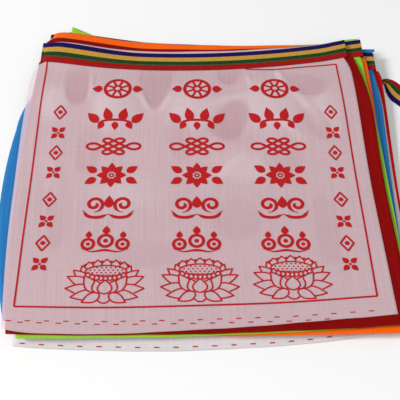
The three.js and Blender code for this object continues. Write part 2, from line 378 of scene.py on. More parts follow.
def relief(layer, x, y):
    """Swells, creases and sunk patches of the top flag, and ripples and curls of the others."""
    below_tape = smooth((tape_middle(layer, x) - HALF_TAPE - y) / HEM_DEPTH)
    if layer > 1:
        (length_x, step_x), (length_y, step_y) = RIPPLE_X, RIPPLE_Y
        ripple = np.sin(x / length_x + step_x * layer) * np.sin(y / length_y + step_y * layer)
        return (RIPPLE * (ripple + 1) + curl_at(layer, x, y)) * below_tape
    swells = sum(swell_at(x, y, swell) for swell in SWELLS)
    raised = swells + sum(crease_at(x, y, crease) for crease in CREASES)
    touch = touching(x, y)
    return (raised * (1 - touch) - SINK * touch) * below_tape


def flag_height(layer, x, y):
    """Middle of a flag's thickness at a place in plan."""
    ramp_share = smooth((y - RAMP_END) / (RAMP_TOP - RAMP_END))
    level = mix(front_level(layer), flag_level(layer), ramp_share)
    front = front_edge(layer, x)
    over = np.clip((FALL_START - front) / FALL_SPAN, 0, 1)
    fall = FLAGS[layer - 1].fall * over * smooth(1 - (y - front) / HEM_DEPTH)
    return level * (1 + fullness(x, y)) + CLOTH_SEAT - fall + relief(layer, x, y)


# Meshes

def add_object(name, data):
    added = bpy.data.objects.new(name, data)
    bpy.context.collection.objects.link(added)
    return added


def new_piece(name, points, faces, cloth, painted_shade_lift=None):
    placed = np.array(points, dtype=float)
    placed[:, 1] += SHIFT_Y
    mesh = bpy.data.meshes.new(name)
    mesh.from_pydata((placed * MM).tolist(), [], [list(map(int, face)) for face in faces])
    place = mesh.attributes.new("cloth", "FLOAT_VECTOR", "POINT")
    place.data.foreach_set("vector", np.asarray(cloth, dtype=np.float32).ravel())
    if painted_shade_lift is not None:
        height = mesh.attributes.new("painted_shade_lift", "FLOAT", "POINT")
        height.data.foreach_set("value", np.asarray(painted_shade_lift, dtype=np.float32).ravel())
    mesh.shade_smooth()
    piece = add_object(name, mesh)
    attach(piece, "root")
    return piece


def grid_faces(rows, columns):
    place = np.arange(rows * columns).reshape(rows, columns)
    quads = np.stack([place[:-1, :-1], place[1:, :-1], place[1:, 1:], place[:-1, 1:]], axis=-1)
    return quads.reshape(-1, 4)


def sheet_faces(rows, columns):
    """Faces of a closed sheet whose upper points come first and then its lower points."""
    count = rows * columns
    upper = grid_faces(rows, columns)
    place = np.arange(count).reshape(rows, columns)
    rim = np.concatenate([place[0, :], place[1:, -1], place[-1, -2::-1], place[-2:0:-1, 0]])
    following = np.roll(rim, -1)
    sides = np.stack([rim, following, following + count, rim + count], axis=-1)
    return np.concatenate([upper, upper[:, ::-1] + count, sides])


def grid_normals(points):
    normals = np.cross(np.gradient(points, axis=0), np.gradient(points, axis=1))
    return normals / np.linalg.norm(normals, axis=-1, keepdims=True)


def flag_grid(layer):
    """Shares along and across a flag at which its mesh has points."""
    if layer == 1:
        shares = np.linspace(0, 1, TOP_CELLS + 1)
        return shares, shares
    wide = np.linspace(0, NEAR_RIGHT, FLAG_CELLS - NEAR_RIGHT_CELLS // 2, endpoint=False)
    columns = np.concatenate([wide, np.linspace(NEAR_RIGHT, 1, NEAR_RIGHT_CELLS)])
    near = np.linspace(0, NEAR_TAPE, NEAR_TAPE_CELLS, endpoint=False)
    middle = np.linspace(NEAR_TAPE, NEAR_HEM, FLAG_CELLS - NEAR_TAPE_CELLS // 2, endpoint=False)
    rows = np.concatenate([near, middle, np.linspace(NEAR_HEM, 1, NEAR_HEM_CELLS)])
    return rows, columns


def make_flag(layer):
    rows, columns = flag_grid(layer)
    along, across = np.meshgrid(rows, columns, indexing="ij")
    x, y = flag_plan(layer, across, along)
    middle = np.stack([x, y, flag_height(layer, x, y)], axis=-1)
    half = grid_normals(middle) * CLOTH / 2
    points = np.concatenate([(middle + half).reshape(-1, 3), (middle - half).reshape(-1, 3)])
    threads = np.full_like(x, THREAD_STEP * layer)
    cloth = np.stack([across * FLAG_SIDE, along * FLAG_SIDE, threads], axis=-1)
    painted_shade_lift = np.zeros_like(x)
    # Painted shade and light on the top flag: its tint follows its relief and sunk patches, and the margin
    # behind the tape gets the palest tint
    if layer == 1:
        behind_tape = y > tape_middle(layer, x)
        painted_shade_lift = np.where(behind_tape, MARGIN_PAINTED_LIGHT_LIFT, relief(layer, x, y) - touching(x, y))
    name = f"cloth_{layer}_{FLAGS[layer - 1].colour}"
    return new_piece(name, points, sheet_faces(len(rows), len(columns)),
                     np.concatenate([cloth.reshape(-1, 3)] * 2), np.concatenate([painted_shade_lift.ravel()] * 2))


# Tape

# Stripes from the back edge to the front edge, with their shares of the width
STRIPES = [("navy", 6.3), ("gold", 6.2), ("green", 6.5), ("red", 7.0)]
RUN_POINTS = 84
TURN_STEPS = 12
TIE_STEP = 1.0
RIBS = 3
RIB_POINTS = 3
RIB_HEIGHT = 0.10
# The free start of the tape bends down
START_BEND = 1.3
START_LENGTH = 5.0


def tape_edges():
    """The tape's back and front edges, section by section from its free start to the end of the tie."""
    edges = []
    for layer in range(1, LAYERS + 2):
        edges.extend(run_edges(layer))
        if layer <= LAYERS:
            edges.extend(turn_edges(layer))
    edges.extend(tie_edges())
    return np.array(edges)


def run_edges(layer):
    (left_x, _), (right_x, _) = tape_ends(layer)
    start = left_x + (0 if layer == 1 else TURN_ROOM)
    stop = right_x - (0 if layer > LAYERS else TURN_ROOM)
    edges = []
    for x in np.linspace(start, stop, RUN_POINTS):
        bend = START_BEND * (1 - math.sqrt(min((x - start) / START_LENGTH, 1))) if layer == 1 else 0
        middle = tape_middle(layer, x)
        pair = []
        for y in (middle + HALF_TAPE, middle - HALF_TAPE):
            pair.append((x, y, tape_level(layer) * (1 + fullness(x, y)) - bend))
        edges.append(pair)
    return edges if is_face_up(layer) else edges[::-1]


def turn_edges(layer):
    x, middle = TURNS[layer]
    outward = 1 if is_face_up(layer) else -1
    edges = []
    for step in range(TURN_STEPS + 1):
        angle = math.pi / 2 - math.pi * step / TURN_STEPS
        pair = []
        for y in (middle + HALF_TAPE, middle - HALF_TAPE):
            upper = tape_level(layer) * (1 + fullness(x, y))
            lower = tape_level(layer + 1) * (1 + fullness(x, y))
            radius = (upper - lower) / 2
            reach = x - outward * (radius + TAPE / 2) + outward * radius * math.cos(angle)
            pair.append((reach, y, (upper + lower) / 2 + radius * math.sin(angle)))
        edges.append(pair)
    return edges


def tie_edges():
    """The tie turns towards the front as it rolls over, and comes down flat to its cut end."""
    up = np.array([0.0, 0.0, 1.0])
    x, y = TURNS[-1]
    edges = []
    for run in np.arange(TIE_STEP, TIE_LENGTH + TIE_STEP / 2, TIE_STEP):
        twist = min(run / TWIST_LENGTH, 1)
        heading = TIE_TURN * float(smooth(run / TIE_TURN_LENGTH))
        x += math.cos(heading) * TIE_STEP
        y += math.sin(heading) * TIE_STEP
        roll = math.pi * (1 - (1 - twist) ** TWIST_EASE)
        stand = abs(math.sin(roll))
        half = HALF_TAPE * mix(1, NECK_SHARE, math.sqrt(stand))
        level = np.array([-math.sin(heading), math.cos(heading), 0])
        side = (level * math.cos(roll) - up * math.sin(roll)) * half
        middle = np.array([x, y, FLOOR_SEAT + half * stand])
        edges.append((middle + side, middle - side))
    return edges


class Tape:
    """The tape's path, for its own mesh and for the stitches on its face."""

    def __init__(self):
        edges = tape_edges()
        self.middles = edges.mean(axis=1)
        self.sides = (edges[:, 0] - edges[:, 1]) / TAPE_WIDTH
        faces = np.cross(np.gradient(self.middles, axis=0), self.sides)
        self.faces = faces / np.linalg.norm(faces, axis=1, keepdims=True)
        steps = np.linalg.norm(np.diff(self.middles, axis=0), axis=1)
        self.runs = np.concatenate([[0], np.cumsum(steps)])
        self.length = self.runs[-1]

    def at(self, run, across, above):
        """Points on the tape's face by length run, place across and height above its middle."""
        found = []
        for values in (self.middles, self.sides, self.faces):
            axes = [np.interp(run, self.runs, values[:, axis]) for axis in range(3)]
            found.append(np.stack(axes, axis=-1))
        middles, sides, faces = found
        points = middles + sides * across[..., None]
        points[..., 2] += self.crown(points, middles, sides, across)
        return points + faces * above[..., None]

    def crown(self, points, middles, sides, across):
        """How much higher the tape lies between its edges, where the flags under it bend."""
        front = middles - sides * HALF_TAPE
        back = middles + sides * HALF_TAPE
        ends = mix(fullness(front[..., 0], front[..., 1]), fullness(back[..., 0], back[..., 1]),
                   (across + HALF_TAPE) / TAPE_WIDTH)
        return points[..., 2] * (fullness(points[..., 0], points[..., 1]) - ends) / (1 + ends)


def stripe_edges():
    total = sum(share for _, share in STRIPES)
    edges = [HALF_TAPE]
    for _, share in STRIPES:
        edges.append(edges[-1] - TAPE_WIDTH * share / total)
    return np.array(edges)


def make_tape(path, materials):
    edges = stripe_edges()
    share = np.arange(RIBS * RIB_POINTS) / (RIBS * RIB_POINTS)
    across = np.concatenate([mix(a, b, share) for a, b in zip(edges[:-1], edges[1:])] + [edges[-1:]])
    ribs = np.concatenate([np.abs(np.sin(math.pi * RIBS * share))] * len(STRIPES) + [[0.0]])
    above = TAPE / 2 - RIB_HEIGHT * (1 - ribs)
    run_grid, across_grid = np.meshgrid(path.runs, across, indexing="ij")
    rows, columns = run_grid.shape
    above_grid = np.broadcast_to(above, run_grid.shape)
    faces_of_tape = [path.at(run_grid, across_grid, side * above_grid) for side in (1, -1)]
    points = np.concatenate([face.reshape(-1, 3) for face in faces_of_tape])
    cloth = np.stack([across_grid, run_grid, np.zeros_like(run_grid)], axis=-1).reshape(-1, 3)
    cloth = np.concatenate([cloth, cloth])
    faces = sheet_faces(rows, columns)[:, ::-1]
    piece = new_piece("striped_tape", points, faces, cloth)
    for name, _ in STRIPES:
        piece.data.materials.append(materials[name])
    middles = cloth[faces, 0].mean(axis=1)
    stripe = np.clip(np.searchsorted(-edges, -middles) - 1, 0, len(STRIPES) - 1)
    piece.data.polygons.foreach_set("material_index", stripe.astype(np.int32))
    return piece


STITCH_PITCH = 3.4
STITCH_LENGTH = 2.5
STITCH_HALF = 0.22
STITCH_INSET = 4.0
# A stitch's rings along its half length, with their girth, and the corners of a ring
STITCH_RINGS = ((-1.0, 0.25), (-0.7, 0.9), (0.0, 1.0), (0.7, 0.9), (1.0, 0.25))
STITCH_SIDES = ((1.0, 0.0), (0.5, 0.9), (-0.5, 0.9), (-1.0, 0.0), (0.0, -0.5))


def make_stitches(name, path, across, material):
    """A row of short raised stitches along the whole tape."""
    starts = np.arange(STITCH_INSET, path.length - STITCH_INSET, STITCH_PITCH)
    rings = np.array(STITCH_RINGS)
    sides = np.array(STITCH_SIDES)
    run = starts[:, None, None] + rings[None, :, None, 0] * STITCH_LENGTH / 2
    run = np.broadcast_to(run, (len(starts), len(rings), len(sides)))
    girth = rings[None, :, None, 1] * STITCH_HALF
    off = np.broadcast_to(across + girth * sides[None, None, :, 0], run.shape)
    above = np.broadcast_to(TAPE / 2 + girth * sides[None, None, :, 1], run.shape)
    points = path.at(run, off, above).reshape(-1, 3)
    around = len(sides)
    each = len(rings) * around
    shell = [range(around)[::-1], range(each - around, each)]
    for ring in range(len(rings) - 1):
        for side in range(around):
            after = (side + 1) % around
            a, b = ring * around + side, ring * around + after
            shell.append((a, b, b + around, a + around))
    firsts = each * np.arange(len(starts))
    faces = [[first + place for place in face] for first in firsts for face in shell]
    cloth = np.stack([off, run, np.zeros_like(run)], axis=-1).reshape(-1, 3)
    piece = new_piece(name, points, faces, cloth)
    piece.data.materials.append(material)


# Print

# Heights of the print above the cloth, and of its shapes above each other
PRINT_LIFT = 0.13
SHAPE_LIFT = 0.006
SHAPE_LIFTS = 19
TAPERED_END = 0.25
NO_LENGTH = 1e-9


class Print:
    """Flat shapes in plan, gathered to one mesh on a flag's upper face."""

    def __init__(self):
        self.points = []
        self.faces = []
        self.lifts = []
        self.shapes = 0

    def close_shape(self):
        """Gives a shape its own small height, so that shapes that cross share no plane."""
        self.shapes += 1
        fresh = len(self.points) - len(self.lifts)
        self.lifts.extend([SHAPE_LIFT * (self.shapes % SHAPE_LIFTS)] * fresh)

    def stroke(self, line, width, closed=False, taper=0.0):
        line = np.asarray(line, dtype=float)
        if closed:
            ahead = np.roll(line, -1, axis=0) - np.roll(line, 1, axis=0)
        else:
            ahead = np.gradient(line, axis=0)
        ahead /= np.maximum(np.linalg.norm(ahead, axis=1, keepdims=True), NO_LENGTH)
        side = np.stack([-ahead[:, 1], ahead[:, 0]], axis=1)
        half = np.full(len(line), width / 2)
        if taper:
            share = np.linspace(0, 1, len(line))
            half *= np.clip(np.minimum(share, 1 - share) / taper, TAPERED_END, 1)
        start = len(self.points)
        for point, away, reach in zip(line, side, half):
            self.points.append(point + away * reach)
            self.points.append(point - away * reach)
        count = len(line)
        for step in range(count if closed else count - 1):
            a = start + 2 * step
            b = start + 2 * ((step + 1) % count)
            self.faces.append((a, a + 1, b + 1, b))
        self.close_shape()

    def fill(self, outline):
        outline = np.asarray(outline, dtype=float)
        middle = outline.mean(axis=0)
        start = len(self.points)
        count = len(outline)
        self.points.append(middle)
        for share in (0.5, 1.0):
            self.points.extend(middle + (outline - middle) * share)
        for step in range(count):
            after = (step + 1) % count
            inner, outer = start + 1, start + 1 + count
            self.faces.append((start, inner + step, inner + after))
            self.faces.append((inner + step, outer + step, outer + after, inner + after))
        self.close_shape()

    def piece(self, name, layer, material):
        plan = np.array(self.points)
        z = flag_height(layer, plan[:, 0], plan[:, 1]) + CLOTH / 2 + PRINT_LIFT + np.array(self.lifts)
        cloth = np.column_stack([plan, np.zeros(len(plan))])
        made = new_piece(name, np.column_stack([plan, z]), self.faces, cloth)
        made.data.materials.append(material)


def segment(a, b, step=2.0):
    a, b = np.asarray(a, float), np.asarray(b, float)
    count = max(2, int(np.linalg.norm(b - a) / step) + 1)
    return a + (b - a) * np.linspace(0, 1, count)[:, None]


def loop_of(corners, step=1.5):
    """A closed line through corners, without its last point."""
    corners = np.asarray(corners, float)
    after = np.roll(corners, -1, axis=0)
    return np.vstack([segment(a, b, step)[:-1] for a, b in zip(corners, after)])


def curve(control, count):
    """A smooth line through control points."""
    control = np.asarray(control, float)
    share = np.linspace(0, len(control) - 1, count)
    padded = np.vstack([2 * control[0] - control[1], control, 2 * control[-1] - control[-2]])
    at = np.minimum(share.astype(int), len(control) - 2)
    t = (share - at)[:, None]
    p0, p1, p2, p3 = padded[at], padded[at + 1], padded[at + 2], padded[at + 3]
    return 0.5 * (2 * p1 + (p2 - p0) * t + (2 * p0 - 5 * p1 + 4 * p2 - p3) * t ** 2
                  + (3 * p1 - p0 - 3 * p2 + p3) * t ** 3)


def ring(x, y, radius_x, radius_y, count=28):
    angle = np.linspace(0, 2 * math.pi, count, endpoint=False)
    return np.column_stack([x + radius_x * np.cos(angle), y + radius_y * np.sin(angle)])


def petal(x, y, length, width, lean, point=0.42, count=36):
    """A pointed petal from its foot, leaning clockwise from straight back."""
    share = np.linspace(0, 1, count // 2 + 1)
    half = width / 2 * np.abs(np.sin(math.pi * share ** 0.75)) ** 0.85 * (1 - point * share ** 5)
    right = np.column_stack([half, share * length])
    left = np.column_stack([-half[-2:0:-1], share[-2:0:-1] * length])
    turn = np.array([[math.cos(lean), -math.sin(lean)], [math.sin(lean), math.cos(lean)]])
    return np.vstack([right, left]) @ turn + np.array([x, y])


def inside(points, outline):
    """Which points lie inside an outline."""
    hit = np.zeros(len(points), dtype=bool)
    for (x0, y0), (x1, y1) in zip(outline, np.roll(outline, -1, axis=0)):
        if y0 == y1:
            continue
        crosses = (y0 > points[:, 1]) != (y1 > points[:, 1])
        hit ^= crosses & (points[:, 0] < x0 + (points[:, 1] - y0) * (x1 - x0) / (y1 - y0))
    return hit


OUTLINE_STEP = 0.7


def draw_in_front(art, outlines, width):
    """Strokes the outlines from front to back, each only where no earlier one covers it."""
    done = []
    for outline in outlines:
        dense = loop_of(outline, OUTLINE_STEP)
        hidden = np.zeros(len(dense), dtype=bool)
        for earlier in done:
            hidden |= inside(dense, earlier)
        done.append(outline)
        if not hidden.any():
            art.stroke(dense, width, closed=True)
            continue
        first = int(np.argmax(hidden))
        run = []
        for point, covered in zip(np.roll(dense, -first, axis=0), np.roll(hidden, -first)):
            if not covered:
                run.append(point)
                continue
            if len(run) > 2:
                art.stroke(run, width)
            run = []
        if len(run) > 2:
            art.stroke(run, width)


LOTUS_LINE = 1.4
# Petals of the lotus on its right side, from front to back: foot, tip and width
LOTUS_FRONT = [
    ((4.6, -11.5), (8.6, 1.2), 9.5),
    ((8.0, -10.5), (18.6, 5.6), 10.5),
    ((4.0, -13.0), (18.8, -20.6), 9.0),
    ((7.5, -12.0), (29.0, -15.6), 9.5),
]
LOTUS_OUTER = [
    ((11.0, -8.5), (34.0, -7.0), 10.0),
    ((14.0, -3.5), (33.2, 4.8), 9.0),
    ((16.0, 1.0), (28.5, 11.2), 8.0),
    ((17.0, 5.0), (21.5, 15.8), 6.5),
]
LOTUS_TOP = [(0.0, 22.4), (8.0, 21.6), (15.6, 19.6), (4.0, 20.6), (11.9, 19.8), (18.6, 17.2)]
TOP_FOOT_SHARE = 0.92
TOP_LENGTH = 8.6
TOP_WIDTH = 8.4
HEART_DOWN = 12.5
HEART = (13.5, 12.5)
LOTUS_BASE_DOWN = 16.6
LOTUS_BASE = (5.4, 4.8)
# The dotted pod and the fringe of small petals along its front rim
POD_UP = 9.6
POD_ACROSS = 18.0
POD_DEPTH = 6.4
POD_DOTS = ((4.2, 7), (1.6, 8), (-1.0, 7), (-3.4, 6))
POD_DOT = (0.85, 0.8)
POD_DOT_STEP = 4.0
FRINGE = range(-4, 5)
FRINGE_STEP = 3.9
FRINGE_DOWN = 2.6
FRINGE_PETAL = (5.2, 4.4)


def petal_between(foot, tip, width):
    foot, tip = np.asarray(foot, float), np.asarray(tip, float)
    away = tip - foot
    return petal(foot[0], foot[1], float(np.hypot(*away)), width, math.atan2(away[0], away[1]))


def draw_lotus(art, x, y):
    """An open lotus from the side: rows of petals around a dotted seed pod."""
    def both(foot, tip, width):
        for way in (1, -1):
            ends = [(x + way * away, y + up) for away, up in (foot, tip)]
            outlines.append(petal_between(*ends, width))

    outlines = [petal(x, y - HEART_DOWN, *HEART, 0, point=0)]
    for leaf in LOTUS_FRONT:
        both(*leaf)
    outlines.append(ring(x, y - LOTUS_BASE_DOWN, *LOTUS_BASE))
    for step in FRINGE:
        away = step * FRINGE_STEP
        rim = POD_UP - POD_DEPTH * math.sqrt(1 - (away / POD_ACROSS) ** 2)
        outlines.append(petal(x + away, y + rim - FRINGE_DOWN, *FRINGE_PETAL, 0))
    outlines.append(ring(x, y + POD_UP, POD_ACROSS, POD_DEPTH, count=44))
    for leaf in LOTUS_OUTER:
        both(*leaf)
    for away, up in LOTUS_TOP:
        both((away * TOP_FOOT_SHARE, up - TOP_LENGTH), (away, up), TOP_WIDTH)
    draw_in_front(art, outlines, LOTUS_LINE)
    for up, count in POD_DOTS:
        for dot in range(count):
            away = (dot - (count - 1) / 2) * POD_DOT_STEP
            art.fill(ring(x + away, y + POD_UP + up, *POD_DOT, count=10))


def moved(points, x, y):
    return [(x + away, y + up) for away, up in points]


# Each leaf, petal and drop below is a length and a width
WHEEL_RADIUS = 12.8
WHEEL_LINE = 3.4
HUB_RADIUS = 3.8
HUB_LINE = 2.6
SPOKES = 8
SPOKE_ENDS = (4.4, 12.4)
SPOKE_LINE = 2.4
WHEEL_LEAF_AWAY = 15.6
WHEEL_LEAF = (10.5, 9.5)


def draw_wheel(art, x, y):
    art.stroke(ring(x, y, WHEEL_RADIUS, WHEEL_RADIUS, count=44), WHEEL_LINE, closed=True)
    art.stroke(ring(x, y, HUB_RADIUS, HUB_RADIUS, count=24), HUB_LINE, closed=True)
    inner, outer = SPOKE_ENDS
    for spoke in range(SPOKES):
        angle = math.pi / SPOKES + spoke * math.tau / SPOKES
        way = np.array([math.cos(angle), math.sin(angle)])
        art.stroke(segment(way * inner + (x, y), way * outer + (x, y)), SPOKE_LINE)
    for way in (1, -1):
        art.fill(petal(x + way * WHEEL_LEAF_AWAY, y, *WHEEL_LEAF, way * math.pi / 2))


BLOSSOM_PETALS = 8
BLOSSOM_FOOT = 3.6
BLOSSOM_PETAL = (11.0, 7.4)
BLOSSOM_EYE = 1.9
BLOSSOM_EYE_LINE = 1.6
# Leaves beside the blossom: away, up and lean
BLOSSOM_LEAVES = ((14.5, 3.6, 1.0), (14.5, -3.6, 2.1))
BLOSSOM_LEAF = (12.5, 8.0)


def fill_petals(art, x, y, count, first, foot, shape):
    """Petals all around a middle, with their feet at a distance from it."""
    for leaf in range(count):
        angle = first + leaf * math.tau / count
        art.fill(petal(x + foot * math.sin(angle), y + foot * math.cos(angle), *shape, angle))


def draw_blossom(art, x, y):
    fill_petals(art, x, y, BLOSSOM_PETALS, 0, BLOSSOM_FOOT, BLOSSOM_PETAL)
    art.stroke(ring(x, y, BLOSSOM_EYE, BLOSSOM_EYE, count=16), BLOSSOM_EYE_LINE, closed=True)
    for way in (1, -1):
        for away, up, lean in BLOSSOM_LEAVES:
            art.fill(petal(x + way * away, y + up, *BLOSSOM_LEAF, way * lean))


COIL_AWAY = 13.5
COIL_UP = 3.0
COIL_RADIUS = 9.0
COIL_START = 0.2
COIL_HALF_TURNS = 3.5
CLOUD_LINE = 3.3
CLOUD_SWEEP = np.array([(23.5, -4), (18, -10.5), (8, -11.5), (0, -8)])
CLOUD_DROP_DOWN = 1
CLOUD_DROP = (14, 9.0)


def draw_cloud(art, x, y):
    turn = np.linspace(COIL_START, 1, 44)
    angle = turn * COIL_HALF_TURNS * math.pi
    coil = np.column_stack([COIL_AWAY + COIL_RADIUS * turn * np.cos(angle),
                            COIL_UP + COIL_RADIUS * turn * np.sin(angle)])
    for way in (1, -1):
        art.stroke(moved(coil * (way, 1), x, y), CLOUD_LINE, taper=0.12)
        art.stroke(curve(moved(CLOUD_SWEEP * (way, 1), x, y), 26), CLOUD_LINE, taper=0.2)
    art.fill(petal(x, y - CLOUD_DROP_DOWN, *CLOUD_DROP, 0))


# The knot in units: its bars, their half length, the bows that join them and the loops at two corners
KNOT_UNIT = 5.4
KNOT_STRETCH = (1.5, 0.86)
KNOT_LINE = 2.6
KNOT_BARS = (-1, 0, 1)
KNOT_REACH = 1.6
KNOT_STEP = 0.3
KNOT_BOW = 0.5
KNOT_LOOP_AWAY = 1.75
KNOT_LOOP_RADIUS = 0.76
KNOT_LOOP_ARC = (0.94 * math.pi, 2.56 * math.pi)


def draw_knot(art, x, y):
    """An endless knot: a lattice on its corner, its bars joined by loops."""
    def draw(points):
        points = np.asarray(points, float) * KNOT_UNIT
        turned = np.column_stack([points[:, 0] - points[:, 1], points[:, 0] + points[:, 1]])
        art.stroke(turned / math.sqrt(2) * KNOT_STRETCH + (x, y), KNOT_LINE)

    for bar in KNOT_BARS:
        draw(segment((bar, -KNOT_REACH), (bar, KNOT_REACH), KNOT_STEP))
        draw(segment((-KNOT_REACH, bar), (KNOT_REACH, bar), KNOT_STEP))
    bow = np.linspace(0, math.pi, 14)
    away = KNOT_BOW + KNOT_BOW * np.cos(bow)
    out = KNOT_REACH + KNOT_BOW * np.sin(bow)
    arc = np.linspace(*KNOT_LOOP_ARC, 24)
    loop = np.column_stack([KNOT_LOOP_AWAY + KNOT_LOOP_RADIUS * np.cos(arc),
                            -KNOT_LOOP_AWAY + KNOT_LOOP_RADIUS * np.sin(arc)])
    for way in (1, -1):
        draw(np.column_stack([away, out]) * way)
        draw(np.column_stack([out, away]) * way)
        draw(loop * way)


# The three drops: away, up and size
JEWELS = ((0, 1.0, 1.0), (-15.5, -2.5, 0.84), (15.5, -2.5, 0.84))
JEWEL_DOWN = 2.5
JEWEL_RADIUS = 6.2
JEWEL_LINE = 3.0
JEWEL_DOT = 2.2
JEWEL_TIP_UP = 4.9
JEWEL_TIP_LENGTH = 9.0
JEWEL_TIP_WIDTH = 7.0
JEWEL_BASE = ((-21, -10), (-12, -13), (0, -11.5), (12, -13), (21, -10))
JEWEL_BASE_LINE = 2.6


def draw_jewel(art, x, y):
    for away, up, size in JEWELS:
        middle = (x + away, y + up - JEWEL_DOWN)
        radius = JEWEL_RADIUS * size
        dot = JEWEL_DOT * size
        tip = (JEWEL_TIP_LENGTH * size, JEWEL_TIP_WIDTH * size)
        art.stroke(ring(*middle, radius, radius, count=30), JEWEL_LINE, closed=True)
        art.fill(petal(x + away, y + up + JEWEL_TIP_UP * size, *tip, 0))
        art.fill(ring(*middle, dot, dot, count=12))
    art.stroke(curve(moved(JEWEL_BASE, x, y), 34), JEWEL_BASE_LINE, taper=0.5)


# The twig and its leaves, each away and lean
STEM = ((-17, -6), (-8, -3), (8, -3), (17, -6))
STEM_LINE = 2.6
UPPER_LEAVES = ((-17, -0.75), (-6, -0.25), (6, 0.25), (17, 0.75))
UPPER_LEAF = (16.5, 9.4)
UPPER_DOWN = 3.0
UPPER_DROOP = 0.14
LOWER_LEAVES = ((-12, -2.6), (0, math.pi), (12, 2.6))
LOWER_LEAF = (9.5, 7.0)
LOWER_DOWN = 5


def draw_leaves(art, x, y):
    art.stroke(curve(moved(STEM, x, y), 30), STEM_LINE, taper=0.1)
    for away, lean in UPPER_LEAVES:
        art.fill(petal(x + away, y - UPPER_DOWN - abs(away) * UPPER_DROOP, *UPPER_LEAF, lean))
    for away, lean in LOWER_LEAVES:
        art.fill(petal(x + away, y - LOWER_DOWN, *LOWER_LEAF, lean))


FLOWER_PETALS = 4
FLOWER_FOOT = 1.8
FLOWER_PETAL = (7.6, 5.4)
FLOWER_EYE = 1.3
DIAMOND = ((0, 8.2), (6.0, 0), (0, -8.2), (-6.0, 0))
DIAMOND_LINE = 1.9
DIAMOND_EYE = 2.3


def draw_flower(art, x, y):
    fill_petals(art, x, y, FLOWER_PETALS, math.pi / FLOWER_PETALS, FLOWER_FOOT, FLOWER_PETAL)
    art.fill(ring(x, y, FLOWER_EYE, FLOWER_EYE, count=12))


def draw_diamond(art, x, y):
    art.stroke(loop_of(moved(DIAMOND, x, y)), DIAMOND_LINE, closed=True)
    art.fill(ring(x, y, DIAMOND_EYE, DIAMOND_EYE, count=14))


# Lines and places of the print on the top flag
FRAME_LEFT = [(-162.3, 144), (-162, 60), (-161, -29), (-157, -141)]
FRAME_BOTTOM = [(-157, -141), (-80, -142), (0, -140), (75, -137), (151, -131)]
FRAME_RIGHT = [(151, -131), (150, -29), (147.5, 60), (144.6, 142)]
FRAME_TOP = [(144.6, 142), (105.9, 137.4), (79.3, 134.3), (60, 134.2), (48, 134.9)]
FRAME_LINE = 1.75
FRAME_POINTS = 130
COLUMNS = (-85, -3, 77)
ROWS = (105, 67, 33.5, 0, -37, -73)
SIDE_COLUMNS = (-141, 132)
SIDE_ROWS = (74, 49.5, 26, 3, -28, -53, -77, -99)
LOTUS_PLACES = ((-82, -116.5), (0, -115), (80, -112.5))
# Dashed rows of the top flag: x, and how far in front of the frame
DASH_ROWS = (
    ((-162.0, 13.2), (158.0, 13.6)),
    ((-152.0, 14.6), (-60.0, 16.2), (20.0, 17.0), (120.0, 18.4)),
)
DASH_PITCH = 16.0
DASH_LENGTH = 4.4
DASH_LINE = 0.95
DASH_POINTS = 5
# The dashed row of the second white flag: up from the hem, and in from its left and right corners
HEM_DASH_UP = 3.0
HEM_DASH_LEFT = 6
HEM_DASH_RIGHT = 10


def frame_bottom(x):
    return np.interp(x, *zip(*FRAME_BOTTOM))


def draw_dashes(art, first, last, place):
    """A dashed row along x, at the y that place gives."""
    for x in np.arange(first, last, DASH_PITCH):
        xs = np.linspace(x, x + DASH_LENGTH, DASH_POINTS)
        art.stroke(np.column_stack([xs, place(xs)]), DASH_LINE)


def draw_flag_print(art):
    for side in (FRAME_LEFT, FRAME_BOTTOM, FRAME_RIGHT, FRAME_TOP):
        art.stroke(curve(side, FRAME_POINTS), FRAME_LINE)
    for row in DASH_ROWS:
        places, downs = zip(*row)
        draw_dashes(art, places[0], places[-1],
                    lambda x: frame_bottom(x) - np.interp(x, places, downs))
    drawings = (draw_wheel, draw_leaves, draw_knot, draw_blossom, draw_cloud, draw_jewel)
    for x in COLUMNS:
        for draw, y in zip(drawings, ROWS):
            draw(art, x, y)
    for x in SIDE_COLUMNS:
        for place, y in enumerate(SIDE_ROWS):
            draw = draw_flower if place % 2 else draw_diamond
            draw(art, x, y)
    for x, y in LOTUS_PLACES:
        draw_lotus(art, x, y)


# Materials

# Scales of the noises, per millimetre across and along the cloth
SATIN_THREADS = (0.9, 0.012, 1.0)
SATIN_SLUBS = (0.03, 1.1, 1.0)
SATIN_GRAIN = (2.2, 0.5, 1.0)
TAPE_THREADS = (1.4, 0.25, 1.0)
TAPE_WEFT = (0.3, 2.4, 1.0)
INK_WEAR = (0.8, 0.2, 1.0)
WHITE = (1.0, 1.0, 1.0)
SLUB_SHADE = (0.93, 0.93, 0.93)
# Lifts of a sheer cloth between which its painted shade changes, from darkest where it sinks onto the cloth
# below to none where it stands off, and the share at which it is clear
SUNK_LIFT = -1.4
FREE_LIFT = 1.6
CLEAR_SHARE = 0.8


def new_material(name):
    material = bpy.data.materials.new(name)
    material.use_nodes = True
    return material, material.node_tree, material.node_tree.nodes["Principled BSDF"]


def set_inputs(node, values):
    for name, value in values.items():
        node.inputs[name].default_value = value


def cloth_noise(tree, detail, scale):
    """Noise in the cloth's own millimetres: across, along."""
    place = tree.nodes.new("ShaderNodeAttribute")
    place.attribute_name = "cloth"
    mapping = tree.nodes.new("ShaderNodeMapping")
    noise = tree.nodes.new("ShaderNodeTexNoise")
    set_inputs(mapping, {"Scale": scale})
    set_inputs(noise, {"Scale": 1.0, "Detail": detail})
    tree.links.new(place.outputs["Vector"], mapping.inputs["Vector"])
    tree.links.new(mapping.outputs["Vector"], noise.inputs["Vector"])
    return noise.outputs["Fac"]


def two_tone(tree, value, low, high, start=0.3, stop=0.7):
    ramp = tree.nodes.new("ShaderNodeValToRGB")
    for element, position, colour in zip(ramp.color_ramp.elements, (start, stop), (low, high)):
        element.position = position
        element.color = (*colour, 1)
    tree.links.new(value, ramp.inputs["Fac"])
    return ramp.outputs["Color"]


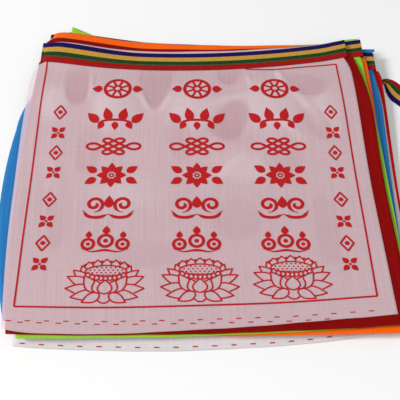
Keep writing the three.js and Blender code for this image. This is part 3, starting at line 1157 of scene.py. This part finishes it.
def multiply(tree, a, b):
    node = tree.nodes.new("ShaderNodeMix")
    node.data_type = "RGBA"
    node.blend_type = "MULTIPLY"
    set_inputs(node, {"Factor": 1.0})
    tree.links.new(a, node.inputs["A"])
    tree.links.new(b, node.inputs["B"])
    return node.outputs["Result"]


def add_bump(tree, shader, height, strength, distance):
    bump = tree.nodes.new("ShaderNodeBump")
    set_inputs(bump, {"Strength": strength, "Distance": distance})
    tree.links.new(height, bump.inputs["Height"])
    tree.links.new(bump.outputs["Normal"], shader.inputs["Normal"])


def satin(name, low, high, sheen=0.015, specular=0.05):
    """Thin satin with fine threads along the flag and fainter ones across."""
    material, tree, shader = new_material(name)
    threads = two_tone(tree, cloth_noise(tree, 3.0, SATIN_THREADS), low, high)
    slubs = two_tone(tree, cloth_noise(tree, 2.0, SATIN_SLUBS), SLUB_SHADE, WHITE)
    tree.links.new(multiply(tree, threads, slubs), shader.inputs["Base Color"])
    add_bump(tree, shader, cloth_noise(tree, 2.0, SATIN_GRAIN), strength=0.25, distance=0.0001)
    set_inputs(shader, {"Roughness": 0.45, "Specular IOR Level": specular})
    set_inputs(shader, {"Sheen Weight": sheen, "Sheen Roughness": 0.4})
    return material


def sheer_satin(name, low, high, painted_touch_shade, alpha):
    """Sheer satin with painted shade: its tint is darker and pinker where it touches the cloth below and
    paler where it stands off it.
    """
    material = satin(name, low, high, sheen=0.12, specular=0.25)
    tree = material.node_tree
    shader = tree.nodes["Principled BSDF"]
    threads = shader.inputs["Base Color"].links[0].from_socket
    painted_shade_lift = tree.nodes.new("ShaderNodeAttribute")
    painted_shade_lift.attribute_name = "painted_shade_lift"
    reach = tree.nodes.new("ShaderNodeMapRange")
    set_inputs(reach, {"From Min": SUNK_LIFT, "From Max": FREE_LIFT})
    tree.links.new(painted_shade_lift.outputs["Fac"], reach.inputs["Value"])
    tint = two_tone(tree, reach.outputs["Result"], painted_touch_shade, WHITE, start=0.0, stop=CLEAR_SHARE)
    tree.links.new(multiply(tree, threads, tint), shader.inputs["Base Color"])
    set_inputs(shader, {"Alpha": alpha})
    return material


def woven(name, low, high):
    """Ribbed tape with its weft across."""
    material, tree, shader = new_material(name)
    threads = two_tone(tree, cloth_noise(tree, 3.0, TAPE_THREADS), low, high)
    tree.links.new(threads, shader.inputs["Base Color"])
    add_bump(tree, shader, cloth_noise(tree, 1.0, TAPE_WEFT), strength=0.6, distance=0.0002)
    set_inputs(shader, {"Roughness": 0.8, "Specular IOR Level": 0.05, "Sheen Weight": 0.015})
    return material


def ink(name, low, high):
    """Print on the cloth, a little uneven."""
    material, tree, shader = new_material(name)
    wear = two_tone(tree, cloth_noise(tree, 3.0, INK_WEAR), low, high)
    tree.links.new(wear, shader.inputs["Base Color"])
    set_inputs(shader, {"Roughness": 0.6, "Specular IOR Level": 0.15})
    return material


# Cloths, each from a darker to a brighter thread
SATINS = {
    # Painted shade: the top white's tint darkens where it sinks onto the red flag below and pales where it
    # stands off
    "white": sheer_satin("white_satin_cloth", (0.88, 0.71, 0.755), (0.98, 0.82, 0.865),
                         painted_touch_shade=(0.81, 0.68, 0.70), alpha=0.42),
    "red": satin("red_satin_cloth", (0.165, 0.0015, 0.0015), (0.24, 0.003, 0.0025)),
    "green": satin("green_satin_cloth", (0.23, 0.48, 0.03), (0.30, 0.57, 0.042)),
    "orange": satin("orange_satin_cloth", (0.80, 0.10, 0.005), (0.92, 0.14, 0.008)),
    "blue": satin("blue_satin_cloth", (0.018, 0.15, 0.40), (0.030, 0.20, 0.50)),
}
TAPE_COLOURS = {
    "navy": woven("navy_stripe", (0.006, 0.003, 0.050), (0.012, 0.006, 0.092)),
    "gold": woven("gold_stripe", (0.40, 0.20, 0.025), (0.54, 0.31, 0.055)),
    "green": woven("green_stripe", (0.008, 0.032, 0.008), (0.016, 0.058, 0.015)),
    "red": woven("red_stripe", (0.24, 0.004, 0.004), (0.34, 0.008, 0.007)),
}
# Layers with materials of their own, which are painted light: brighter copies of the white and red satins
# for the lower white and red flags, which lie in the stack's shade
SECOND_WHITE = 6
SECOND_RED = 7
PAINTED_LIGHT_SATINS = {
    # Painted light: paler and less see-through than the top white, to offset the shade the hem lies in
    SECOND_WHITE: sheer_satin("white_hem_painted_light_cloth", (0.77, 0.73, 0.75), (0.87, 0.83, 0.85),
                              painted_touch_shade=(0.95, 0.92, 0.92), alpha=0.56),
    # Painted light: a brighter red than the top red flag's, to offset the shade this lower flag lies in
    SECOND_RED: satin("second_red_painted_light_cloth", (0.46, 0.004, 0.004), (0.58, 0.008, 0.006)),
}
RED_INK = ink("red_print", (0.36, 0.006, 0.009), (0.46, 0.011, 0.013))
# Rows of stitches near the tape's edges and along the red stripe's back edge
EDGE_STITCH_IN = 1.4
PALE_STITCH_IN = 0.9
NAVY_THREAD = woven("navy_thread", (0.010, 0.007, 0.07), (0.02, 0.012, 0.14))
PALE_THREAD = woven("pale_thread", (0.10, 0.15, 0.09), (0.19, 0.24, 0.16))
RED_THREAD = woven("red_thread", (0.34, 0.006, 0.008), (0.50, 0.012, 0.014))
STITCH_ROWS = [
    ("navy_stitches", HALF_TAPE - EDGE_STITCH_IN, NAVY_THREAD),
    ("pale_stitches", stripe_edges()[3] + PALE_STITCH_IN, PALE_THREAD),
    ("red_stitches", -HALF_TAPE + EDGE_STITCH_IN, RED_THREAD),
]

# Pieces

for layer in range(1, LAYERS + 1):
    colour = FLAGS[layer - 1].colour
    piece = make_flag(layer)
    piece.data.materials.append(PAINTED_LIGHT_SATINS.get(layer, SATINS[colour]))
    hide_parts(f"flag_{layer}_{colour}")

path = Tape()
tape = make_tape(path, TAPE_COLOURS)
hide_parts("heading_tape")
for name, across, material in STITCH_ROWS:
    make_stitches(name, path, across, material)

top_art = Print()
draw_flag_print(top_art)
top_art.piece("print_top_flag", 1, RED_INK)

hem_art = Print()
hem_flag = FLAGS[SECOND_WHITE - 1]
draw_dashes(hem_art, hem_flag.left_front + HEM_DASH_LEFT, hem_flag.right_front - HEM_DASH_RIGHT,
            lambda x: front_edge(SECOND_WHITE, x) + HEM_DASH_UP)
hem_art.piece("print_second_white_flag", SECOND_WHITE, RED_INK)

# Stage, light and camera

FLOOR_HALF = 4.0
FLOOR_Z = -0.0002
FLOOR_COLOUR = (0.84, 0.84, 0.84, 1)
WORLD_COLOUR = (1, 1, 1, 1)
WORLD_STRENGTH = 0.36
# Name, place, target, size and power
LIGHTS = [
    ("key", (-3.2, -0.2, 2.8), (0, 0.1, 0), 1.2, 148),
    ("fill", (0.6, -2.2, 3.0), (0, 0, 0), 2.4, 52),
]
CAMERA_PLACE = (0, -0.3459, 0.5543)
CAMERA_TILT = math.radians(36.91)
CAMERA_LENS = 65.15
CAMERA_SENSOR = 36
CAMERA_CLIP = 0.01


def make_floor():
    mesh = bpy.data.meshes.new("floor")
    corners = [(-1, -1), (1, -1), (1, 1), (-1, 1)]
    points = [(FLOOR_HALF * x, FLOOR_HALF * y, FLOOR_Z) for x, y in corners]
    mesh.from_pydata(points, [], [(0, 1, 2, 3)])
    material, _, shader = new_material("pale_floor")
    set_inputs(shader, {"Base Color": FLOOR_COLOUR, "Roughness": 0.9, "Specular IOR Level": 0.1})
    mesh.materials.append(material)
    floor = add_object("floor", mesh)


def make_light(name, place, target, size, power):
    light = bpy.data.lights.new(name, "AREA")
    light.size = size
    light.energy = power
    lamp = add_object(name, light)
    lamp.location = place
    towards = Vector(target) - Vector(place)
    lamp.rotation_euler = towards.to_track_quat("-Z", "Y").to_euler()


make_floor()
for row in LIGHTS:
    make_light(*row)

world = bpy.data.worlds.new("studio")
bpy.context.scene.world = world
world.use_nodes = True
background = world.node_tree.nodes["Background"]
set_inputs(background, {"Color": WORLD_COLOUR, "Strength": WORLD_STRENGTH})
bpy.context.scene.view_settings.view_transform = "Standard"

camera = bpy.data.cameras.new("camera")
camera.lens = CAMERA_LENS
camera.sensor_width = CAMERA_SENSOR
camera.clip_start = CAMERA_CLIP
viewer = add_object("camera", camera)
viewer.location = CAMERA_PLACE
viewer.rotation_euler = (CAMERA_TILT, 0, 0)
bpy.context.scene.camera = viewer
